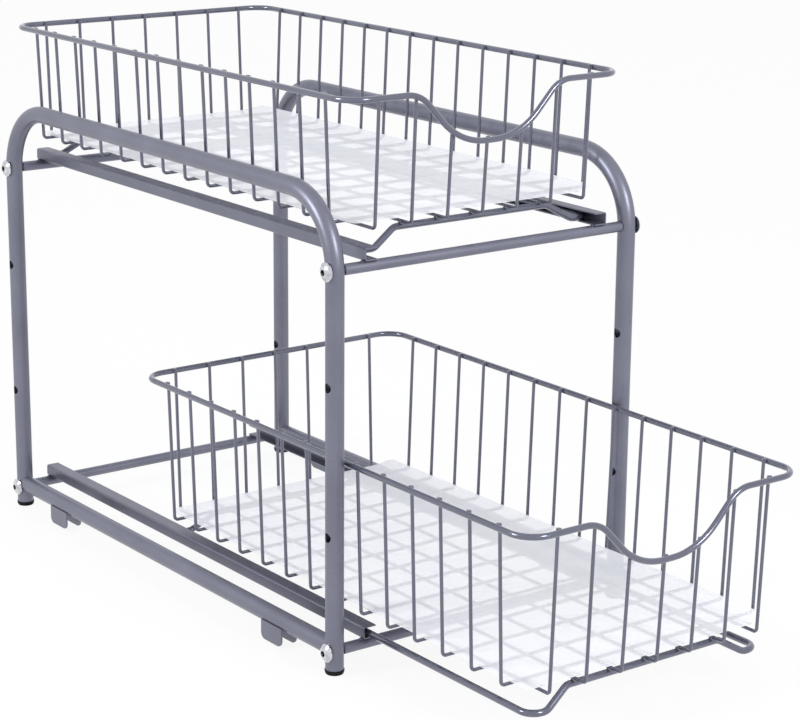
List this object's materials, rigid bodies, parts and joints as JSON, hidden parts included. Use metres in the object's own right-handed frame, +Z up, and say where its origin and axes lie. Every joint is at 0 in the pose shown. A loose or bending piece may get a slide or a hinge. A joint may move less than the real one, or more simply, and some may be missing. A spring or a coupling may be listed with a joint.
{
  "type": "under sink organizer",
  "caption": "Two-tier organizer for a sink cabinet: a bolted tube stand whose wire baskets slide out on side rails, each with a frosted liner.",
  "frame": {"origin": "on the floor, at the middle of the whole object's footprint with the lower basket pulled out", "axes": "+Z up, -Y towards the open front where the baskets pull out, +X to the right seen from the front"},
  "size_m": [0.2706, 0.6406, 0.3891],
  "materials": {
    "tube_coat": "satin blue-grey powder coat",
    "rail_coat": "satin blue-grey powder coat",
    "wire_coat": "satin blue-grey powder coat",
    "bolt_chrome": "bright plated",
    "foot_plastic": "black moulded",
    "liner_sheet": "frosted translucent sheet"
  },
  "bodies": {
    "stand": {"left_side_frame": "tube_coat", "right_side_frame": "tube_coat", "left_lower_tube": "tube_coat", "right_lower_tube": "tube_coat", "left_front_clip": "tube_coat", "left_rear_clip": "tube_coat", "right_front_clip": "tube_coat", "right_rear_clip": "tube_coat", "upper_front_rod": "tube_coat", "upper_rear_rod": "tube_coat", "lower_front_rod": "tube_coat", "lower_rear_rod": "tube_coat", "upper_left_rail": "rail_coat", "upper_right_rail": "rail_coat", "lower_left_rail": "rail_coat", "lower_right_rail": "rail_coat", "left_front_foot": "foot_plastic", "left_rear_foot": "foot_plastic", "right_front_foot": "foot_plastic", "right_rear_foot": "foot_plastic", "frame_bolts": "bolt_chrome"},
    "upper_basket": {"upper_rim": "wire_coat", "upper_cross_wires": "wire_coat", "upper_long_wires": "wire_coat", "upper_slide_frame": "wire_coat", "upper_liner": "liner_sheet"},
    "lower_basket": {"lower_rim": "wire_coat", "lower_cross_wires": "wire_coat", "lower_long_wires": "wire_coat", "lower_slide_frame": "wire_coat", "lower_liner": "liner_sheet"}
  },
  "joints": [
    {"name": "upper_basket_slide", "type": "slide", "parent": "stand", "child": "upper_basket", "axis": [0, -1, 0], "range_m": [0, 0.1865]},
    {"name": "lower_basket_slide", "type": "slide", "parent": "stand", "child": "lower_basket", "axis": [0, -1, 0], "range_m": [-0.1865, 0]}
  ]
}
